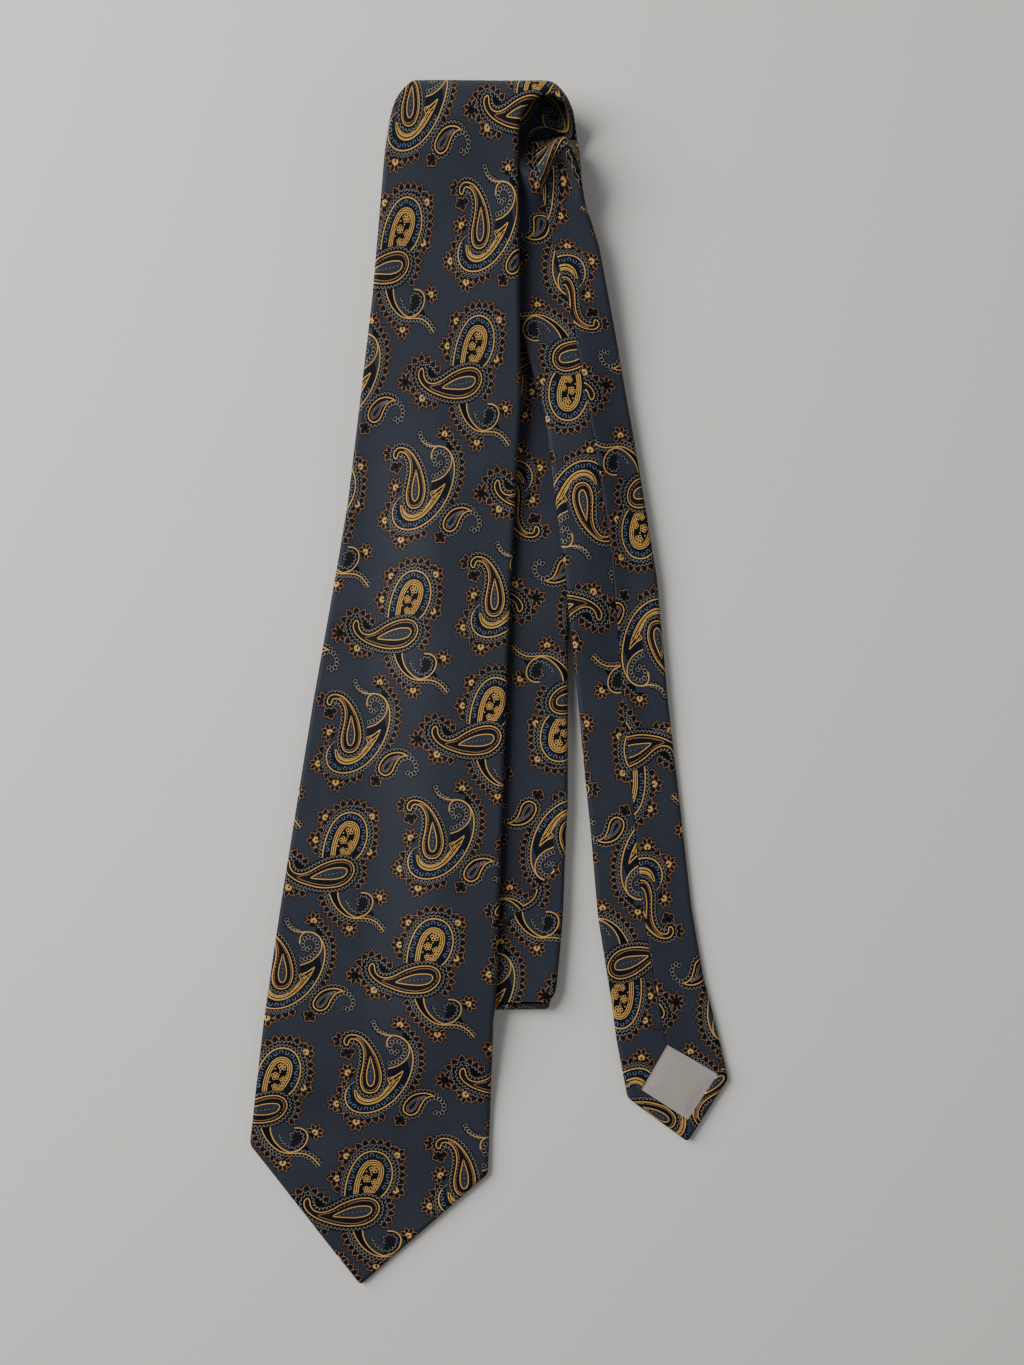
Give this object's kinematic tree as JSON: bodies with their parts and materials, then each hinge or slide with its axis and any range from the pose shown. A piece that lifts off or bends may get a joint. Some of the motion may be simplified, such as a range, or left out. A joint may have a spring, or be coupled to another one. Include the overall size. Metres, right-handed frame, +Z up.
{
  "type": "necktie",
  "caption": "Silk necktie with a paisley print, doubled at the neck and folded back under itself, wide blade face up and narrow blade showing its seam, lining and bar tack.",
  "frame": {"origin": "middle of the folded tie's footprint, on the surface that it lies on", "axes": "+Z up, +Y along the tie towards its two top folds, +X to the side where the narrow blade lies"},
  "size_m": [0.172, 0.4246, 0.0216],
  "materials": {
    "printed_silk": "slate-navy silk twill with a gold, copper, grey and blue paisley print, soft sheen",
    "wool_interlining": "brushed off-white wool blend, matte",
    "lining_silk": "silver-beige lining twill, soft sheen",
    "sewing_thread": "dark navy silk thread",
    "label_satin": "plain dark satin label, blank"
  },
  "bodies": {
    "folded_stack": {"outer_fold_shell": "printed_silk", "outer_fold_interlining": "wool_interlining", "under_run_shell": "printed_silk", "under_run_interlining": "wool_interlining", "under_run_slip_stitch": "sewing_thread", "neck_fold_shell": "printed_silk", "neck_fold_interlining": "wool_interlining", "blade_panel_end": "printed_silk", "neck_shell": "printed_silk", "neck_interlining": "wool_interlining", "neck_slip_stitch": "sewing_thread", "inner_fold_shell": "printed_silk", "inner_fold_interlining": "wool_interlining"},
    "wide_blade": {"blade_shell": "printed_silk", "blade_interlining": "wool_interlining", "blade_lining": "lining_silk", "blade_slip_stitch": "sewing_thread", "blade_bar_tack": "sewing_thread", "keeper_loop": "printed_silk", "blank_label": "label_satin"},
    "narrow_blade": {"tail_shell": "printed_silk", "tail_interlining": "wool_interlining", "tail_lining": "lining_silk", "tail_slip_stitch": "sewing_thread", "tail_bar_tack": "sewing_thread"}
  },
  "joints": [
    {"name": "blade_lift", "type": "hinge", "parent": "folded_stack", "child": "wide_blade", "pos_m": [-0.0125, 0.19405, 0.01875], "axis": [-1, 0, 0], "range_deg": [0, 60]},
    {"name": "tail_swing", "type": "hinge", "parent": "folded_stack", "child": "narrow_blade", "pos_m": [0.0161, 0.18385, 0], "axis": [0, 0, 1], "range_deg": [0, 18]}
  ]
}
